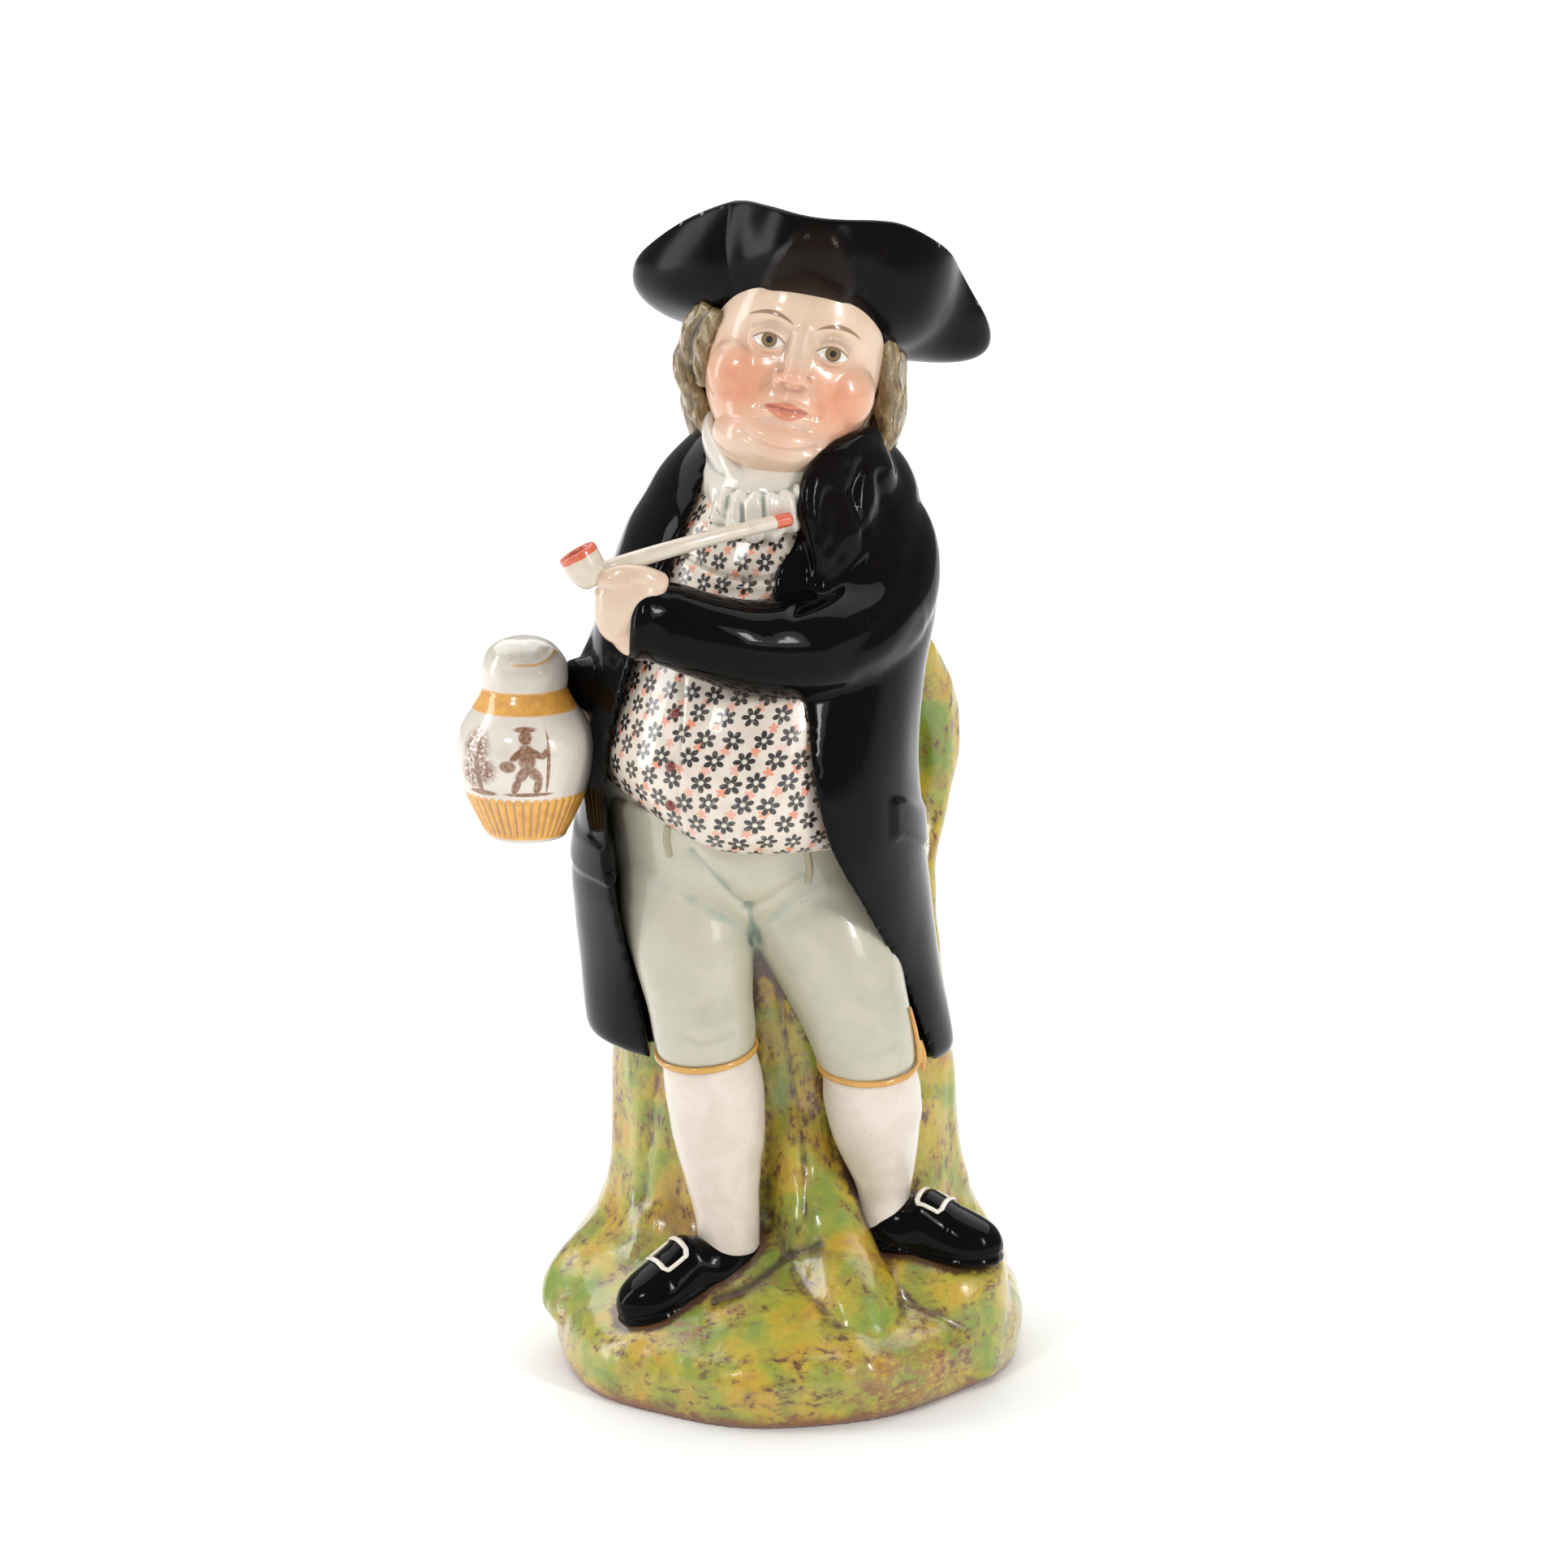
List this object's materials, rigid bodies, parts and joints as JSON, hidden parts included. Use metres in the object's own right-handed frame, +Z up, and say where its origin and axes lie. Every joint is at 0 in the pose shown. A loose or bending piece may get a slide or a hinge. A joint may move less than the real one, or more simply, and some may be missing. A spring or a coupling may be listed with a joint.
{
  "type": "toby jug",
  "caption": "Hollow figural pottery jug of a stout man in a tricorn hat, holding a foaming jug and a pipe, with a branch handle behind.",
  "frame": {"origin": "centre of the flat underside of the base", "axes": "+Z up, -Y the way the man faces, +X towards his left hand"},
  "size_m": [0.1385, 0.1307, 0.288],
  "materials": {
    "glazed_ware": "glossy clear glaze over painted enamels"
  },
  "bodies": {
    "root": {"toby_jug": "glazed_ware"}
  },
  "joints": []
}
